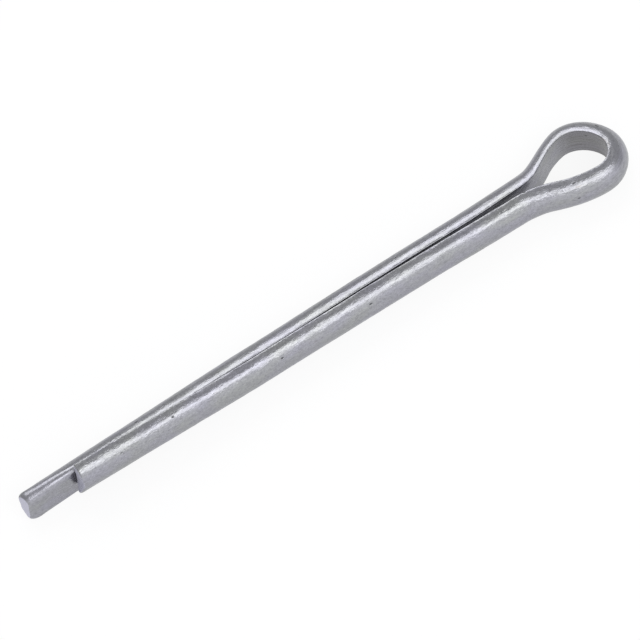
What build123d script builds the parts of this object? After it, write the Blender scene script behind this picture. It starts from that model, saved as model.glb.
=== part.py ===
from build123d import *
import math
import os

# Split pin, also called a cotter pin: one length of half-round wire, folded back on itself
# so that its flat sides face each other, with the fold left open as an eye. Sizes are in
# millimetres. The pin lies on its side, with its legs along X and its eye at +X.

# The wire's section: half of the shank's circle, less half of the slit, with soft corners.
shank_radius = 2.9
leg_slit = 0.1
corner_radius = 0.45

# The legs lie tight together from their ends, then spread a little on the way to the eye.
tight_length = 34.2
long_leg_excess = 9.4
spread_angle = 0.56
spread_radius = 300.0
spread_length = 39.8

# The eye, from the short leg round to the long one, as angles in degrees and radii of the
# wire's flat inner side. It is lopsided: a full belly, a round nose, then a flat crown.
short_neck_angle = 26.2
short_neck_radius = 12.8
belly_angle = 21.9
belly_radius = 17.6
nose_angle = 77.2
nose_radius = 3.65
nose_end_angle = 48.8
nose_end_radius = 2.65
crown_angle = 42.1
crown_radius = 5.75
shoulder_angle = 47.3
shoulder_radius = 4.45
long_neck_radius = 5.2

# Both ends are cropped square. The long leg's end has its edge rolled over all round.
crop_edge = 0.2
rolled_edge = 0.5


def section_at(point, heading):
    """The wire's section where its inner side passes point on its way along heading."""
    circle = Pos(-leg_slit / 2, 0) * Rot(0, 0, 180) * Circle(shank_radius)
    beside = (Align.MIN, Align.CENTER)
    half = circle & Rectangle(shank_radius, 2 * shank_radius, align=beside)
    soft = fillet(half.vertices().group_by(Axis.X)[0], corner_radius)
    angle = math.radians(heading)
    ahead = (math.cos(angle), math.sin(angle), 0)
    outward = (math.sin(angle), -math.cos(angle), 0)
    return Plane(origin=point, x_dir=outward, z_dir=ahead) * soft


def run(heading, length):
    """The step that a straight run takes."""
    angle = math.radians(heading)
    return Vector(math.cos(angle), math.sin(angle)) * length


def centre_of(point, heading, turn, radius):
    """The centre of a bend that starts at point: a negative turn bends the wire outward."""
    return point + run(heading + math.copysign(90, turn), radius)


def bend(heading, turn, radius):
    """The step that a bend takes."""
    centre = centre_of(Vector(), heading, turn, radius)
    return centre - run(heading + turn + math.copysign(90, turn), radius)


# The long leg comes back to the end of the tight stretch. The flank between the shoulder and
# the long neck, and the long leg's spread, take the lengths that bring it there.
eye_bends = [
    (-short_neck_angle, short_neck_radius),
    (belly_angle, belly_radius),
    (nose_angle, nose_radius),
    (nose_end_angle, nose_end_radius),
    (crown_angle, crown_radius),
    (shoulder_angle, shoulder_radius),
]
flank_heading = sum(turn for turn, radius in eye_bends) - spread_angle
return_heading = 180 + spread_angle
long_neck_angle = return_heading - flank_heading
shoulder_end = run(0, tight_length) + bend(0, -spread_angle, spread_radius)
shoulder_end += run(-spread_angle, spread_length)
heading = -spread_angle
for turn, radius in eye_bends:
    shoulder_end += bend(heading, turn, radius)
    heading += turn
home = run(0, tight_length) + Vector(0, leg_slit)
gap = home - shoulder_end - bend(flank_heading, long_neck_angle, long_neck_radius)
gap -= bend(return_heading, -spread_angle, spread_radius)
flank = run(flank_heading, 1)
back = run(return_heading, 1)
flank_length = gap.cross(back).Z / flank.cross(back).Z
return_length = gap.cross(flank).Z / back.cross(flank).Z

# Each step is a straight run, as a length, or a bend, as a turn and a radius.
steps = [tight_length, (-spread_angle, spread_radius), spread_length]
steps += eye_bends
steps += [flank_length, (long_neck_angle, long_neck_radius), return_length]
steps += [(-spread_angle, spread_radius), tight_length + long_leg_excess]

point = Vector(0, -leg_slit / 2)
heading = 0
pieces = []
for step in steps:
    section = section_at(point, heading)
    if isinstance(step, tuple):
        turn, radius = step
        centre = centre_of(point, heading, turn, radius)
        axis = Axis(centre, (0, 0, math.copysign(1, turn)))
        pieces.append(revolve(section, axis, abs(turn)))
        point += bend(heading, turn, radius)
        heading += turn
    else:
        pieces.append(extrude(section, step))
        point += run(heading, step)
wire = Part() + pieces

# The cropped ends: a slight soft edge on the short leg, and a rolled one on the long leg.
end_faces = wire.faces().filter_by(Axis.X).sort_by(Axis.X)
rolled = fillet(end_faces[0].edges(), rolled_edge)
short_end = rolled.faces().filter_by(Axis.X).sort_by(Axis.X)[1]
pin = fillet(short_end.edges(), crop_edge)

# The part's origin is on the surface that it lies on, under the middle of its outline.
outline = pin.bounding_box()
pin = Pos(-outline.center().X, -outline.center().Y, -outline.min.Z) * pin

os.makedirs("parts", exist_ok=True)
export_step(pin, "parts/split_pin.step")
print("flank length", round(flank_length, 3), "return length", round(return_length, 3))
print("size", outline.size, "volume", pin.volume)
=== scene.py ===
import math

import bmesh
import bpy
import numpy as np
from mathutils import Matrix, Vector, noise


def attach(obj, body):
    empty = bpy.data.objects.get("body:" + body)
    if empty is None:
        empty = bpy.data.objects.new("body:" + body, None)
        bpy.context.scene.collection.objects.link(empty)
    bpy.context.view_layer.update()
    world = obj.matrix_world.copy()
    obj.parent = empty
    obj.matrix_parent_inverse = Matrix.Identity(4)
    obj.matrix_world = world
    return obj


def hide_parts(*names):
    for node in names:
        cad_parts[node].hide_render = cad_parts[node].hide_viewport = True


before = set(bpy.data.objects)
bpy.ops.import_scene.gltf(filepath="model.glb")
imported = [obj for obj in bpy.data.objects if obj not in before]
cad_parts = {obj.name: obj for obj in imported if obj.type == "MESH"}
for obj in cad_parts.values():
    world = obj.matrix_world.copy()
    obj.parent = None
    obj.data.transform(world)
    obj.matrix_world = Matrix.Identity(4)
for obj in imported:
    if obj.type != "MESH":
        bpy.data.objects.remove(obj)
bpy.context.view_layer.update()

# The split pin's wire is mild steel, drawn to a half-round section, cut to length and folded
# over a former, so that its flat sides meet along the legs and the fold stays open as an eye.
# Sizes are in millimetres, in the pin's own frame: legs along x, flat sides facing at y = 0.
SHANK_RADIUS = 2.9
LEG_SLIT = 0.1
TIGHT_LENGTH = 34.2
LONG_LEG_EXCESS = 9.4
SPREAD_ANGLE = 0.56
SPREAD_RADIUS = 300.0
SPREAD_LENGTH = 39.8
NECK_AND_BELLY = [(-24.1, 15.1), (21.7, 18.9)]
NOSE_AND_CROWN = [(75.0, 2.86), (41.7, 2.98), (44.3, 5.8), (32.8, 3.46), (20.5, 9.55)]
LONG_NECK_RADIUS = 6.65
DEPTH = SHANK_RADIUS - LEG_SLIT / 2


def run(heading, length):
    """The step that a straight run of the wire takes."""
    angle = math.radians(heading)
    return length * np.array([math.cos(angle), math.sin(angle)])


def bend(heading, turn, radius):
    """The step that a bend of the wire takes, with radius on its flat side."""
    side = math.copysign(90, turn)
    return run(heading + side, radius) - run(heading + turn + side, radius)


def across(a, b):
    """The cross product of two steps."""
    return a[0] * b[1] - a[1] * b[0]


# The flank before the long leg's neck and the long leg's spread take up what closes the eye.
eye_bends = NECK_AND_BELLY + NOSE_AND_CROWN
flank_heading = sum(turn for turn, radius in eye_bends) - SPREAD_ANGLE
back_heading = 180 + SPREAD_ANGLE
long_neck = (back_heading - flank_heading, LONG_NECK_RADIUS)
spread = (-SPREAD_ANGLE, SPREAD_RADIUS)
reached = run(0, TIGHT_LENGTH) + bend(0, *spread) + run(-SPREAD_ANGLE, SPREAD_LENGTH)
heading = -SPREAD_ANGLE
for turn, radius in eye_bends:
    reached = reached + bend(heading, turn, radius)
    heading += turn
gap = run(0, TIGHT_LENGTH) + np.array([0, LEG_SLIT]) - reached
gap = gap - bend(flank_heading, *long_neck) - bend(back_heading, *spread)
flank_way = run(flank_heading, 1)
back_way = run(back_heading, 1)
flank = across(gap, back_way) / across(flank_way, back_way)
back = across(gap, flank_way) / across(back_way, flank_way)
steps = [TIGHT_LENGTH, spread, SPREAD_LENGTH, *eye_bends, flank, long_neck, back, spread]
steps += [TIGHT_LENGTH + LONG_LEG_EXCESS]

# The wire's line is walked in fine strides. Its curvature changes softly from bend to bend, as
# it does in a wire that springs back from its former.
STRIDE = 0.2
SPRING_BACK = 0.4
points = [np.array([0.0, -LEG_SLIT / 2])]
headings = [0.0]
for step in steps:
    start = points[-1]
    angle = headings[-1]
    if isinstance(step, tuple):
        turn, radius = step
        count = math.ceil(math.radians(abs(turn)) * (radius + DEPTH / 2) / STRIDE)
        for i in range(1, count + 1):
            points.append(start + bend(angle, turn * i / count, radius))
            headings.append(angle + turn * i / count)
    else:
        count = math.ceil(step / STRIDE)
        for i in range(1, count + 1):
            points.append(start + run(angle, step * i / count))
            headings.append(angle)
line = np.array(points)
headings = np.radians(headings)
strides = np.linalg.norm(np.diff(line, axis=0), axis=1)
along = np.concatenate([[0], np.cumsum(strides)])
wire_length = float(along[-1])
weights = np.exp(-(((along[:, None] - along[None, :]) / SPRING_BACK) ** 2) / 2)
soft_headings = weights @ headings / weights.sum(axis=1)
middle = (soft_headings[1:] + soft_headings[:-1]) / 2
moves = strides[:, None] * np.stack([np.cos(middle), np.sin(middle)], axis=1)
soft_line = line[0] + np.concatenate([[[0, 0]], np.cumsum(moves, axis=0)])
eye_start = TIGHT_LENGTH + SPREAD_LENGTH
eye_end = wire_length - TIGHT_LENGTH - LONG_LEG_EXCESS - back
neck_start = eye_end - math.radians(SPREAD_ANGLE) * SPREAD_RADIUS
neck_start -= math.radians(abs(long_neck[0])) * LONG_NECK_RADIUS
share = np.clip((along - eye_start) / (eye_end - eye_start), 0, 1)[:, None]
soft_line = soft_line + (line[-1] - soft_line[-1]) * share

# The section is half of the shank's circle. Its outline goes from the flat side's top round by
# its foot, as (out from the flat side, up), with corners that are barely softened by drawing.
CORNER_RADIUS = 0.12
FLAT_POINTS = 18
CORNER_POINTS = 5
ARC_POINTS = 42


def half_round(foot_corner, top_corner):
    """The section's outline for the radii of its two corners."""
    rises = []
    meets = []
    for corner in (foot_corner, top_corner):
        rise = math.sqrt((SHANK_RADIUS - corner) ** 2 - (corner + LEG_SLIT / 2) ** 2)
        rises.append(rise)
        meets.append(math.atan2(rise, corner + LEG_SLIT / 2))
    spots = [(0, height) for height in np.linspace(rises[1], -rises[0], FLAT_POINTS)]
    for i in range(1, CORNER_POINTS + 1):
        turn = math.pi + (math.pi - meets[0]) * i / (CORNER_POINTS + 1)
        out = foot_corner + foot_corner * math.cos(turn)
        spots.append((out, -rises[0] + foot_corner * math.sin(turn)))
    for angle in np.linspace(-meets[0], meets[1], ARC_POINTS + 1):
        out = SHANK_RADIUS * math.cos(angle) - LEG_SLIT / 2
        spots.append((out, SHANK_RADIUS * math.sin(angle)))
    for i in range(1, CORNER_POINTS + 1):
        turn = meets[1] + (math.pi - meets[1]) * i / (CORNER_POINTS + 1)
        out = top_corner + top_corner * math.cos(turn)
        spots.append((out, rises[1] + top_corner * math.sin(turn)))
    return np.array(spots)


outline = half_round(CORNER_RADIUS, CORNER_RADIUS)

# The shears and the tumbling drum have softened the long leg's last stretch: its top corner is
# rounded off, and its foot is pressed out a little.
WORN_LENGTH = 14.0
WORN_ONSET = 0.7
WORN_FOOT_RADIUS = 0.35
WORN_TOP_RADIUS = 1.3
WORN_THICKENING = 0.04
WORN_FLARE = 0.4
WORN_SWELL = 0.1


def worn_to(wear):
    """The section's outline on the way to the long leg's tip, where wear is 1."""
    foot_corner = CORNER_RADIUS + (WORN_FOOT_RADIUS - CORNER_RADIUS) * wear
    top_corner = CORNER_RADIUS + (WORN_TOP_RADIUS - CORNER_RADIUS) * wear
    section = half_round(foot_corner, top_corner)
    lowness = wear * np.clip(0.5 - section[:, 1] / (2 * SHANK_RADIUS), 0, 1)
    section[:, 0] *= 1 + WORN_THICKENING * wear
    section[:, 0] -= WORN_FLARE * lowness
    section[:, 1] -= WORN_SWELL * lowness
    return section


# The ends are cropped, and the shears roll the edge of the cut over. How far the roll runs back
# along the wire, and how deep it cuts in, is given on the flat side, with what the round side
# adds, and then what the foot adds.
TIP_ROLL_LENGTH = np.array([0.8, 1.4, 1.0])
TIP_ROLL_DEPTH = np.array([0.45, 0.95, 0.7])
SHORT_ROLL_LENGTH = np.array([0.2, 0.15, 0.0])
SHORT_ROLL_DEPTH = np.array([0.18, 0.12, 0.0])
ROUND_SIDE_ONSET = 0.7
FOOT_FROM = 1.0
FOOT_TO = 3.0
END_RINGS = 8
CAP_RINGS = 6
HUB = np.array([1.15, 0.0])
outness = np.clip(outline[:, 0] / DEPTH, 0, 1) ** ROUND_SIDE_ONSET
footness = np.clip((-outline[:, 1] - FOOT_FROM) / (FOOT_TO - FOOT_FROM), 0, 1)
sides = np.stack([np.ones(len(outline)), outness, footness])


def cropped_end(section, roll_length, roll_depth):
    """Rings of (run-out, out, up) from the full section to the middle of a cropped end face."""
    arms = section - HUB
    reach = np.linalg.norm(arms, axis=1)
    rings = []
    for i in range(END_RINGS + 1):
        angle = math.pi / 2 * i / END_RINGS
        shrink = 1 - (roll_depth @ sides) * (1 - math.cos(angle)) / reach
        ring = HUB + arms * shrink[:, None]
        rings.append(np.column_stack([-(roll_length @ sides) * (1 - math.sin(angle)), ring]))
    face = rings[-1]
    for i in range(1, CAP_RINGS):
        ring = HUB + (face[:, 1:] - HUB) * (1 - i / CAP_RINGS)
        rings.append(np.column_stack([face[:, 0], ring]))
    return rings


long_end = cropped_end(worn_to(1.0), TIP_ROLL_LENGTH, TIP_ROLL_DEPTH)
short_end = cropped_end(outline, SHORT_ROLL_LENGTH, SHORT_ROLL_DEPTH)

# The whole wire is a row of rings from the short leg's end to the long leg's tip. Each point is
# (distance along the wire, out, up). Plain rings keep clear of the rolled ends.
SHORT_END_CLEARANCE = 0.5
LONG_END_CLEARANCE = 3.4
rings = [np.column_stack([-ring[:, 0], ring[:, 1:]]) for ring in reversed(short_end)]
plain = (along > SHORT_END_CLEARANCE) & (along < wire_length - LONG_END_CLEARANCE)
for distance in along[plain]:
    wear = np.clip(1 - (wire_length - distance) / WORN_LENGTH, 0, 1) ** WORN_ONSET
    rings.append(np.column_stack([np.full(len(outline), distance), worn_to(wear)]))
rings += [np.column_stack([ring[:, 0] + wire_length, ring[:, 1:]]) for ring in long_end]
wire = np.array(rings)

# The rolls of the drawing bench, the former and the tumbling drum leave the surface slightly
# uneven. Each wave is its size along, out and up, then its height, then its place in the noise.
WAVES = [((9.0, 2.5, 2.5), 0.05, 11), ((1.6, 0.8, 0.8), 0.022, 23), ((0.6, 0.4, 0.4), 0.012, 37)]
normals = outline - HUB
normals = normals / np.linalg.norm(normals, axis=1)[:, None]
normals[outline[:, 0] < 0.01] = (-1, 0)
for (length, width, height), rise, seed in WAVES:
    for ring in wire:
        for k in range(len(outline)):
            spot = (ring[k, 0] / length + seed, ring[k, 1] / width, ring[k, 2] / height)
            ring[k, 1:] += normals[k] * rise * noise.noise(spot)

# The fold springs open out of true: past the middle, the short leg lifts and the long leg dips.
# The short leg also bows out a little on its way, and just before the eye both legs sway a
# little to the short leg's side. The crown's length keeps the two sways apart.
LEAN_START = 29.1
SHORT_LEG_LIFT = 0.93
LONG_LEG_DIP = 0.95
BOW = 0.13
BOW_AT = 31.0
BOW_LENGTH = 13.0
SWAY = 0.18
SHORT_SWAY_AT = 76.0
LONG_SWAY_AT = 70.0
SWAY_LENGTH = 7.0
CROWN_LENGTH = 10.0

# The long leg is rolled a little towards the short one, up to the neck of the eye, and the
# tight bend of the eye's shoulder has flattened the wire's round side.
ROLL_ANGLE = math.radians(4.2)
ROLL_FROM_TIP = [25.0, 42.0, 80.0, 90.0]
FLATTENED_BY = 0.21
FLATTENED_AT = 3.0
FLATTENED_LENGTH = 2.6

# The shears leave both ends a little longer than their nominal length, the short one with a
# small lip at its foot. They cut the long tip at a slant, with its round side and foot longer.
END_REACH = 5.0
SHORT_END_EXCESS = 0.68
LIP = 0.22
TIP_EXCESS = 0.48
TIP_SLANT = 0.8
TIP_DROP = 0.15


def place(wire):
    """Takes wire coordinates to the pin's frame, in millimetres."""
    distance, out, up = wire[..., 0], wire[..., 1], wire[..., 2]
    heading = np.interp(distance, along, soft_headings)
    past = (distance - neck_start + FLATTENED_AT) / FLATTENED_LENGTH
    out = out * (1 - FLATTENED_BY * np.exp(-(past**2) / 2))
    roll = ROLL_ANGLE * np.interp(wire_length - distance, ROLL_FROM_TIP, [0, 1, 1, 0])
    out, up = out * np.cos(roll) - up * np.sin(roll), out * np.sin(roll) + up * np.cos(roll)
    x = np.interp(distance, along, soft_line[:, 0]) + out * np.sin(heading)
    y = np.interp(distance, along, soft_line[:, 1]) - out * np.cos(heading)
    on_short_leg = distance < eye_start
    fade = np.clip((LEAN_START - x) / LEAN_START, 0, None)
    z = up + np.where(on_short_leg, SHORT_LEG_LIFT, -LONG_LEG_DIP) * fade
    y = y - np.where(on_short_leg, BOW * np.exp(-(((x - BOW_AT) / BOW_LENGTH) ** 2) / 2), 0)
    sway_at = np.where(distance < neck_start - CROWN_LENGTH, SHORT_SWAY_AT, LONG_SWAY_AT)
    y = y - SWAY * np.exp(-(((x - sway_at) / SWAY_LENGTH) ** 2) / 2)
    near_short_end = np.clip(1 - distance / END_REACH, 0, None)
    x = x - (SHORT_END_EXCESS + LIP * out * np.clip(-up, 0, None)) * near_short_end
    near_tip = np.clip(1 - (wire_length - distance) / END_REACH, 0, None)
    x = x + (TIP_SLANT * (1 - out / DEPTH) + TIP_DROP * up - TIP_EXCESS) * near_tip
    return np.stack([x, y, z], axis=-1)


# The pin rests on the dipped tip and on the eye, so that it lies very slightly eye down. Its
# mesh goes to metres in the part's frame, centred and with its lowest point on the floor.
PART_ORIGIN_Y = 0.0607
TIP_SIDE_BELOW = 0.0
EYE_SIDE_ABOVE = 80.0
placed = place(wire)
tip_side = placed[placed[..., 0] < TIP_SIDE_BELOW]
eye_side = placed[placed[..., 0] > EYE_SIDE_ABOVE]
drop = eye_side[eye_side[:, 2].argmin()] - tip_side[tip_side[:, 2].argmin()]
settle = np.array(Matrix.Rotation(math.atan2(drop[2], drop[0]), 3, "Y"))
placed = placed @ settle.T
middle_x = (placed[..., 0].min() + placed[..., 0].max()) / 2
seat = np.array([middle_x, PART_ORIGIN_Y, placed[..., 2].min()])


def seated(spot):
    """Takes a place from the pin's frame, after settling, to the part's frame in metres."""
    return (np.array(spot) - seat) / 1000


# One point closes each end face, and rings of four-sided faces make the rest of the skin.
ring_count, point_count = wire.shape[:2]
end_middles = [placed[0].mean(axis=0), placed[-1].mean(axis=0)]
verts = seated(np.vstack([placed.reshape(-1, 3), end_middles]))
faces = []
for i in range(ring_count - 1):
    for k in range(point_count):
        a = i * point_count + k
        b = i * point_count + (k + 1) % point_count
        faces.append((a, b, b + point_count, a + point_count))
short_middle = ring_count * point_count
last_ring = (ring_count - 1) * point_count
for k in range(point_count):
    following = (k + 1) % point_count
    faces.append((short_middle, following, k))
    faces.append((short_middle + 1, last_ring + k, last_ring + following))
mesh = bpy.data.meshes.new("wire")
mesh.from_pydata(verts.tolist(), [], faces)
build = bmesh.new()
build.from_mesh(mesh)
bmesh.ops.recalc_face_normals(build, faces=build.faces)
build.to_mesh(mesh)
build.free()
mesh.polygons.foreach_set("use_smooth", np.ones(len(mesh.polygons), dtype=bool))
wire_middles = [wire[0].mean(axis=0), wire[-1].mean(axis=0)]
wire_mm = mesh.attributes.new("wire_mm", "FLOAT_VECTOR", "POINT")
wire_mm.data.foreach_set("vector", np.vstack([wire.reshape(-1, 3), wire_middles]).ravel())
on_end_face = np.zeros((ring_count, point_count))
on_end_face[: CAP_RINGS + 1] = 1
on_end_face[-CAP_RINGS - 1 :] = 1
sheared = mesh.attributes.new("sheared", "FLOAT", "POINT")
sheared.data.foreach_set("value", np.concatenate([on_end_face.ravel(), [1, 1]]))
pin = bpy.data.objects.new("wire", mesh)
bpy.context.scene.collection.objects.link(pin)


def colour(code):
    """A linear colour from an sRGB hex value."""
    parts = [int(code[i : i + 2], 16) / 255 for i in (1, 3, 5)]
    linear = [p / 12.92 if p <= 0.04045 else ((p + 0.055) / 1.055) ** 2.4 for p in parts]
    return (*linear, 1)


def add(tree, kind, settings=(), links=()):
    """Adds a node: settings go to its properties or sockets, links to its sockets."""
    node = tree.nodes.new(kind)
    for name, value in dict(settings).items():
        if isinstance(name, str) and hasattr(node, name):
            setattr(node, name, value)
        else:
            node.inputs[name].default_value = value
    for name, source in dict(links).items():
        tree.links.new(source, node.inputs[name])
    return node


# Zinc-plated drawn steel, tumbled with other pins: a soft grey metal with a cold tint, fine
# lines from the die along the wire, and scuffs that break the highlights up.
zinc = bpy.data.materials.new("zinc_plated_drawn_steel")
zinc.use_nodes = True
tree = zinc.node_tree
tree.nodes.clear()

# The marks in the plating. Each is its noise, its size along, out and up in millimetres, its
# detail and its roughness. The die's lines, a few hundredths of a millimetre apart on a real
# pin, and the speckle of the zinc's crystals are drawn as coarse as they need to show.
DIE_LINES = ("ShaderNodeTexNoise", (14.0, 0.22, 0.22), 2.0, 0.5)
BLOTCHES = ("ShaderNodeTexNoise", (6.0, 2.2, 2.2), 3.0, 0.5)
GRAIN = ("ShaderNodeTexNoise", (0.7, 0.35, 0.35), 3.0, 0.65)
DENTS = ("ShaderNodeTexNoise", (1.1, 0.6, 0.6), 3.0, 0.6)
SCUFFS = ("ShaderNodeTexNoise", (2.4, 0.5, 0.5), 4.0, 0.65)
SPECKLE = ("ShaderNodeTexNoise", (0.34, 0.22, 0.22), 2.0, 0.5)
STAINS = ("ShaderNodeTexNoise", (3.5, 1.2, 1.2), 2.0, 0.5)
PITS = ("ShaderNodeTexVoronoi", (4.0, 2.2, 2.2), 0.0, 0.5)
where = add(tree, "ShaderNodeAttribute", {"attribute_name": "wire_mm"}).outputs["Vector"]
place_on_wire = add(tree, "ShaderNodeSeparateXYZ", links={0: where})
marks = {}
for mark in (DIE_LINES, BLOTCHES, GRAIN, DENTS, SCUFFS, SPECKLE, STAINS, PITS):
    kind, size, detail, roughness = mark
    counts = {"operation": "MULTIPLY", 1: tuple(1 / s for s in size)}
    in_marks = add(tree, "ShaderNodeVectorMath", counts, {0: where})
    settings = {"Scale": 1.0, "Detail": detail, "Roughness": roughness}
    marks[mark] = add(tree, kind, settings, {"Vector": in_marks.outputs[0]}).outputs[0]

# The plating's colour, in layers: each is a mark, the span of it that counts, how much of the
# layer's colour shows at the span's two ends, and that colour.
BARE_ZINC = "#b3b5b4"
LAYERS = [
    (BLOTCHES, (0.36, 0.64), (0.0, 1.0), "#b3b3bd"),
    (DIE_LINES, (0.35, 0.65), (0.0, 0.3), "#a0a0a7"),
    (GRAIN, (0.3, 0.7), (0.55, 0.0), "#8f8f95"),
    (SPECKLE, (0.3, 0.5), (0.5, 0.0), "#85858a"),
    (STAINS, (0.7, 0.8), (0.0, 0.5), "#8c7f74"),
    (PITS, (0.04, 0.09), (1.0, 0.0), "#5c5d60"),
]
tint = None
for mark, (low, high), (at_low, at_high), code in LAYERS:
    span = {1: low, 2: high, 3: at_low, 4: at_high}
    links = {0: add(tree, "ShaderNodeMapRange", span, {0: marks[mark]}).outputs[0]}
    if tint:
        links[6] = tint
    settings = {"data_type": "RGBA", 6: colour(BARE_ZINC), 7: colour(code)}
    tint = add(tree, "ShaderNodeMix", settings, links).outputs[2]

# The cut ends are bare and pale. A painted shade darkens the eye's flat side at its crown, in
# streaks along the die lines, and a painted contact shadow darkens the long leg's flat side
# beside the short leg's end. Each border of these two places is its axis, where it starts and
# where it is full.
ON_FLAT_SIDE = ("Y", 0.15, 0.05)
CROWN = [("X", 92.5, 95.5), ("X", 103.8, 100.8), ON_FLAT_SIDE]
# Where the painted contact shadow lies, beside the short leg's end.
CONTACT_SHADE_PLACE = [
    ("X", wire_length - 9.7, wire_length - 9.3),
    ("X", wire_length - 7.7, wire_length - 8.4),
    ("Z", -0.9, 0.1),
    ("Z", 3.2, 2.4),
    ON_FLAT_SIDE,
]
places = []
for borders in (CROWN, CONTACT_SHADE_PLACE):
    inside = None
    for axis, none, full in borders:
        on_axis = {0: place_on_wire.outputs[axis]}
        border = add(tree, "ShaderNodeMapRange", {1: none, 2: full}, on_axis)
        if inside:
            both = {0: inside, 1: border.outputs[0]}
            border = add(tree, "ShaderNodeMath", {"operation": "MULTIPLY"}, both)
        inside = border.outputs[0]
    places.append(inside)
in_crown, in_contact_shade = places
# A painted shade on the crown's flat side, in streaks along the die lines.
streaks = {1: 0.3, 2: 0.7, 3: 0.25, 4: 0.75}
streaked = add(tree, "ShaderNodeMapRange", streaks, {0: marks[DIE_LINES]}).outputs[0]
crown_shade_in_lines = {0: in_crown, 1: streaked}
painted_crown_shade = add(tree, "ShaderNodeMath", {"operation": "MULTIPLY"}, crown_shade_in_lines).outputs[0]
# A painted contact shadow on the long leg's flat side, beside the short leg's end.
contact_shade_span = {1: 0.1, 2: 0.8, 3: 0.0, 4: 0.75}
painted_contact_shade = add(tree, "ShaderNodeMapRange", contact_shade_span, {0: in_contact_shade}).outputs[0]
cut = add(tree, "ShaderNodeAttribute", {"attribute_name": "sheared"}).outputs["Fac"]
# Over the plating go the bare cut ends, the painted crown shade and the painted contact shadow.
for share, code in ((cut, "#d4d4e0"), (painted_crown_shade, "#74716f"), (painted_contact_shade, "#4a4748")):
    settings = {"data_type": "RGBA", 7: colour(code)}
    tint = add(tree, "ShaderNodeMix", settings, {0: share, 6: tint}).outputs[2]

# Scuffs make the plating's gloss uneven, the worn tip is duller, and the cut ends are matt.
scuffing = {1: 0.35, 2: 0.65, 3: 0.15, 4: 0.32}
scuffed = add(tree, "ShaderNodeMapRange", scuffing, {0: marks[SCUFFS]}).outputs[0]
wearing = {1: wire_length - 10, 2: wire_length - 2, 3: 0.0, 4: 0.1}
worn = add(tree, "ShaderNodeMapRange", wearing, {0: place_on_wire.outputs["X"]}).outputs[0]
dullness = add(tree, "ShaderNodeMath", {"operation": "ADD"}, {0: scuffed, 1: worn}).outputs[0]
matt_cut = {"data_type": "FLOAT", 3: 0.65}
rough = add(tree, "ShaderNodeMix", matt_cut, {0: cut, 2: dullness}).outputs[0]

# The same marks are felt in the surface. Each is the span of it that counts, and the heights
# at the span's two ends in millimetres.
RELIEF = [
    (GRAIN, (0.0, 1.0), (0.0, 0.02)),
    (SPECKLE, (0.0, 1.0), (0.0, 0.014)),
    (DENTS, (0.0, 1.0), (0.0, 0.035)),
    (DIE_LINES, (0.0, 1.0), (0.0, 0.006)),
    (PITS, (0.04, 0.09), (-0.04, 0.0)),
]
facing = None
for mark, (low, high), (at_low, at_high) in RELIEF:
    span = {1: low, 2: high, 3: at_low, 4: at_high}
    links = {"Height": add(tree, "ShaderNodeMapRange", span, {0: marks[mark]}).outputs[0]}
    if facing:
        links["Normal"] = facing
    facing = add(tree, "ShaderNodeBump", {"Strength": 1.0, "Distance": 0.001}, links).outputs[0]
finish = {"Base Color": tint, "Roughness": rough, "Normal": facing}
metal = add(tree, "ShaderNodeBsdfPrincipled", {"Metallic": 1.0}, finish)
add(tree, "ShaderNodeOutputMaterial", links={"Surface": metal.outputs[0]})
mesh.materials.append(zinc)
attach(pin, "root")
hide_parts("split_pin")

# The floor is a seamless board of matt white card. The picture takes it as white, and it keeps
# the pin's soft shadow. The metal mirrors it less, and least where it runs on behind the pin.
FLOOR_WIDTH = 6.0
WHITE_TO_CAMERA = 0.85
WHITE_TO_METAL = 0.45
GLOW = 1.04
DARKER_BEHIND = {1: 0.0, 2: 0.05, 4: 0.42}
bpy.ops.mesh.primitive_plane_add(size=FLOOR_WIDTH)
floor = bpy.context.object
floor.name = "floor"
board = bpy.data.materials.new("matt_white_card")
board.use_nodes = True
tree = board.node_tree
tree.nodes.clear()
card = add(tree, "ShaderNodeBsdfDiffuse", {"Color": colour("#f2f2f3")})
glow = add(tree, "ShaderNodeEmission", {"Color": colour("#ffffff"), "Strength": GLOW})
path = add(tree, "ShaderNodeLightPath")
to_metal = {"operation": "MULTIPLY", 1: WHITE_TO_METAL}
mirrored = add(tree, "ShaderNodeMath", to_metal, {0: path.outputs["Is Glossy Ray"]})
to_camera = {"operation": "MULTIPLY_ADD", 1: WHITE_TO_CAMERA}
seen = {0: path.outputs["Is Camera Ray"], 2: mirrored.outputs[0]}
white = add(tree, "ShaderNodeMath", to_camera, seen)
glowing = {0: white.outputs[0], 1: card.outputs[0], 2: glow.outputs[0]}
lit = add(tree, "ShaderNodeMixShader", links=glowing)
spot = add(tree, "ShaderNodeNewGeometry").outputs["Position"]
spot_y = add(tree, "ShaderNodeSeparateXYZ", links={0: spot}).outputs["Y"]
behind = add(tree, "ShaderNodeMapRange", DARKER_BEHIND, {0: spot_y})
only_mirrored = {0: behind.outputs[0], 1: path.outputs["Is Glossy Ray"]}
darker = add(tree, "ShaderNodeMath", {"operation": "MULTIPLY"}, only_mirrored)
dark = add(tree, "ShaderNodeBsdfDiffuse", {"Color": colour("#000000")})
dimming = {0: darker.outputs[0], 1: lit.outputs[0], 2: dark.outputs[0]}
dimmed = add(tree, "ShaderNodeMixShader", links=dimming)
add(tree, "ShaderNodeOutputMaterial", links={"Surface": dimmed.outputs[0]})
floor.data.materials.append(board)

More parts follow.
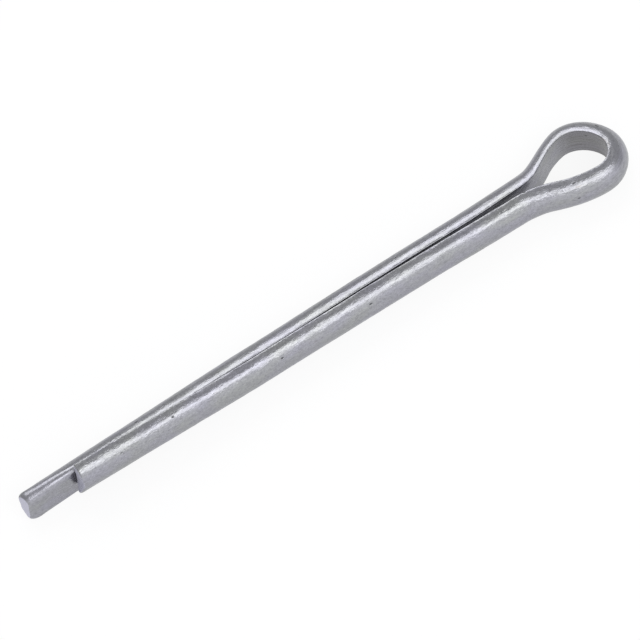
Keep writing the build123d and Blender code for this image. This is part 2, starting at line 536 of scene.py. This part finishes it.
# The studio is a pale painted room, dimmer behind the pin, which gives the metal a dark side to
# mirror. The picture takes its walls as white.
ROOM_COLOUR = "#fdfdff"
NEAR_TO_FAR = {1: -0.75, 2: -0.3, 3: 1.05, 4: 0.54}
room = bpy.data.worlds.new("pale_room")
bpy.context.scene.world = room
room.use_nodes = True
tree = room.node_tree
tree.nodes.clear()
way = add(tree, "ShaderNodeTexCoord").outputs["Generated"]
way_y = add(tree, "ShaderNodeSeparateXYZ", links={0: way}).outputs["Y"]
side = add(tree, "ShaderNodeMapRange", NEAR_TO_FAR, {0: way_y})
path = add(tree, "ShaderNodeLightPath")
behind_all = {0: path.outputs["Is Camera Ray"], 2: side.outputs[0]}
level = add(tree, "ShaderNodeMix", {"data_type": "FLOAT", 3: 1.0}, behind_all)
paint = {"Color": colour(ROOM_COLOUR)}
walls = add(tree, "ShaderNodeBackground", paint, {"Strength": level.outputs[0]})
add(tree, "ShaderNodeOutputWorld", links={"Surface": walls.outputs[0]})

# Two long softboxes hang along the pin, one on each side. Each is its angle up from the near
# side, the angle that it fills, in degrees, and its radiance.
SOFTBOXES = [("near softbox", 55, 25, 1.42), ("far softbox", 132, 32, 1.65)]
SOFTBOX_DISTANCE = 0.9
SOFTBOX_LENGTH = 0.8
TOWARDS_EYE = 0.19
for name, elevation, breadth, radiance in SOFTBOXES:
    lamp = bpy.data.lights.new(name, "AREA")
    lamp.shape = "RECTANGLE"
    lamp.size = SOFTBOX_LENGTH
    lamp.size_y = 2 * SOFTBOX_DISTANCE * math.tan(math.radians(breadth / 2))
    lamp.energy = radiance * math.pi * lamp.size * lamp.size_y
    softbox = bpy.data.objects.new(name, lamp)
    bpy.context.scene.collection.objects.link(softbox)
    angle = math.radians(elevation)
    toward = Vector((TOWARDS_EYE, -math.cos(angle), math.sin(angle))).normalized()
    softbox.location = toward * SOFTBOX_DISTANCE
    breadthwise = toward.cross(Vector((1, 0, 0))).normalized()
    tilt = Matrix((breadthwise.cross(toward), breadthwise, toward)).transposed()
    softbox.rotation_euler = tilt.to_euler()
    softbox.visible_camera = False

# The camera looks along the legs from the long tip's side, from high on the near side, through
# a long lens that is rolled, so that the pin lies up the picture's diagonal. It aims at a place
# given in millimetres along the pin and down, as the unrolled lens sees it.
VIEW_HEIGHT = math.radians(61.952)
VIEW_SWING = math.radians(10.228)
VIEW_ROLL = math.radians(31.9927)
AIM_ALONG = 42.1656
AIM_DOWN = -0.5848
FRAME_WIDTH = 0.0945626
SENSOR_WIDTH = 36
CAMERA_DISTANCE = 3.0
up_and_near = Vector((0, -math.cos(VIEW_HEIGHT), math.sin(VIEW_HEIGHT)))
pinwise = math.cos(VIEW_SWING) * Vector((1, 0, 0)) + math.sin(VIEW_SWING) * up_and_near
down = Vector((0, -math.sin(VIEW_HEIGHT), -math.cos(VIEW_HEIGHT)))
turned = Matrix(settle.tolist())
aim = Vector(seated(turned @ (AIM_ALONG * pinwise + AIM_DOWN * down)))
right = turned @ (math.cos(VIEW_ROLL) * pinwise + math.sin(VIEW_ROLL) * down)
above = turned @ (math.sin(VIEW_ROLL) * pinwise - math.cos(VIEW_ROLL) * down)
backward = right.cross(above)
lens = bpy.data.cameras.new("camera")
lens.sensor_width = SENSOR_WIDTH
lens.lens = SENSOR_WIDTH * CAMERA_DISTANCE / FRAME_WIDTH
lens.clip_start = 0.01
lens.clip_end = 20
camera = bpy.data.objects.new("camera", lens)
bpy.context.scene.collection.objects.link(camera)
camera.location = aim + backward * CAMERA_DISTANCE
camera.rotation_euler = Matrix((right, above, backward)).transposed().to_euler()
bpy.context.scene.camera = camera
bpy.context.scene.view_settings.view_transform = "Standard"
